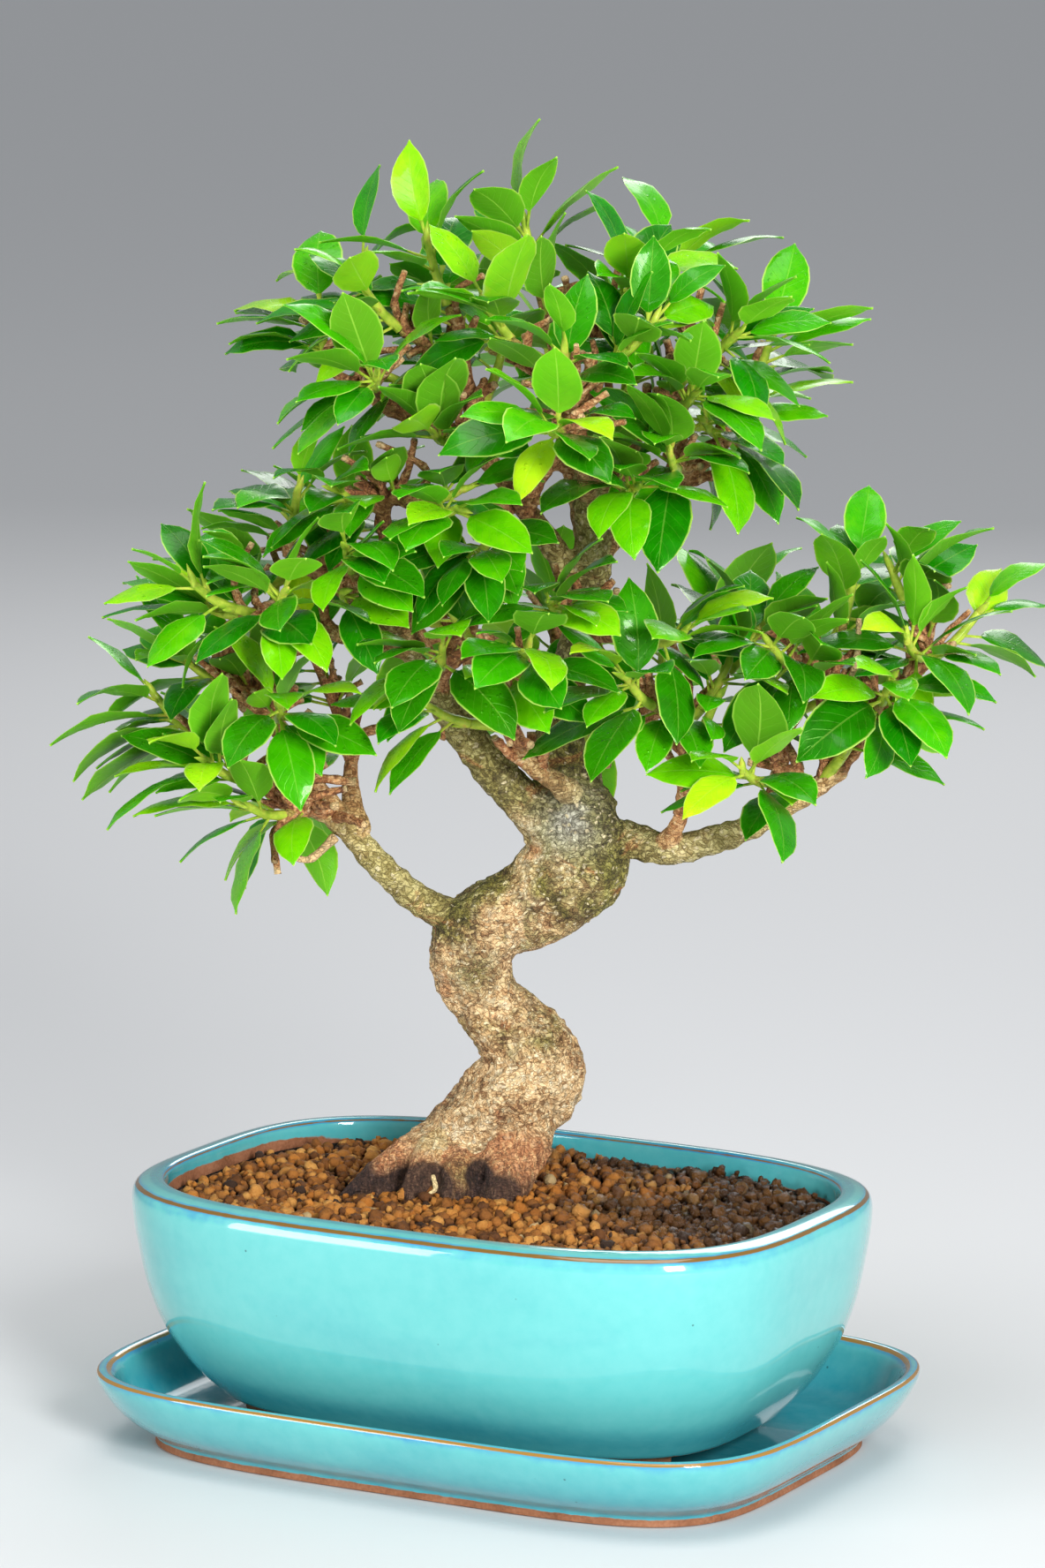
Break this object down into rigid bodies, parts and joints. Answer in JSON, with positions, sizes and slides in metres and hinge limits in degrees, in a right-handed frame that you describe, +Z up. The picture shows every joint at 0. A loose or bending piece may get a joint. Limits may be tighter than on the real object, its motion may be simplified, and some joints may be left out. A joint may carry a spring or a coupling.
{
  "type": "potted bonsai tree",
  "caption": "Small-leaved banyan fig bonsai with an S-shaped trunk and layered leafy branches, in a turquoise glazed oblong pot of baked clay grains on a matching drip saucer.",
  "frame": {"origin": "middle of the saucer's flat foot, on the surface that it stands on", "axes": "+Z up; X along the long side of the saucer and pot; -Y is the pot's front, and the tree's own front looks from -Y turned about 29 degrees towards +X"},
  "size_m": [0.2935, 0.2533, 0.4554],
  "materials": {
    "saucer_glaze": "gloss",
    "pot_glaze": "gloss",
    "plastic_net": "matte",
    "clay_grains": "matte",
    "bark": "matte",
    "leaf": "satin"
  },
  "bodies": {
    "root": {"saucer": "saucer_glaze", "pot": "pot_glaze", "drain_screen_left": "plastic_net", "drain_screen_right": "plastic_net", "soil": "clay_grains", "trunk": "bark", "leafy_shoot_crown_01": "leaf", "leafy_shoot_crown_02": "leaf", "leafy_shoot_crown_03": "leaf", "leafy_shoot_crown_04": "leaf", "leafy_shoot_crown_05": "leaf", "leafy_shoot_crown_06": "leaf", "leafy_shoot_crown_07": "leaf", "leafy_shoot_crown_08": "leaf", "leafy_shoot_crown_09": "leaf", "leafy_shoot_crown_10": "leaf", "leafy_shoot_crown_11": "leaf", "leafy_shoot_crown_12": "leaf", "leafy_shoot_crown_13": "leaf", "leafy_shoot_crown_14": "leaf", "leafy_shoot_crown_15": "leaf", "leafy_shoot_crown_16": "leaf", "leafy_shoot_crown_17": "leaf", "leafy_shoot_crown_18": "leaf", "leafy_shoot_crown_19": "leaf", "leafy_shoot_crown_20": "leaf", "leafy_shoot_crown_21": "leaf", "leafy_shoot_crown_22": "leaf", "leafy_shoot_crown_23": "leaf", "leafy_shoot_left_01": "leaf", "leafy_shoot_left_02": "leaf", "leafy_shoot_left_03": "leaf", "leafy_shoot_left_04": "leaf", "leafy_shoot_left_05": "leaf", "leafy_shoot_left_06": "leaf", "leafy_shoot_left_07": "leaf", "leafy_shoot_left_08": "leaf", "leafy_shoot_left_09": "leaf", "leafy_shoot_left_10": "leaf", "leafy_shoot_low_left_01": "leaf", "leafy_shoot_low_left_02": "leaf", "leafy_shoot_low_left_03": "leaf", "leafy_shoot_low_left_04": "leaf", "leafy_shoot_low_left_05": "leaf", "leafy_shoot_low_left_06": "leaf", "leafy_shoot_middle_01": "leaf", "leafy_shoot_middle_02": "leaf", "leafy_shoot_middle_03": "leaf", "leafy_shoot_middle_04": "leaf", "leafy_shoot_middle_05": "leaf", "leafy_shoot_middle_06": "leaf", "leafy_shoot_middle_07": "leaf", "leafy_shoot_right_01": "leaf", "leafy_shoot_right_02": "leaf", "leafy_shoot_right_03": "leaf", "leafy_shoot_right_04": "leaf", "leafy_shoot_right_05": "leaf", "leafy_shoot_right_06": "leaf", "leafy_shoot_right_07": "leaf", "leafy_shoot_right_08": "leaf"}
  },
  "joints": []
}
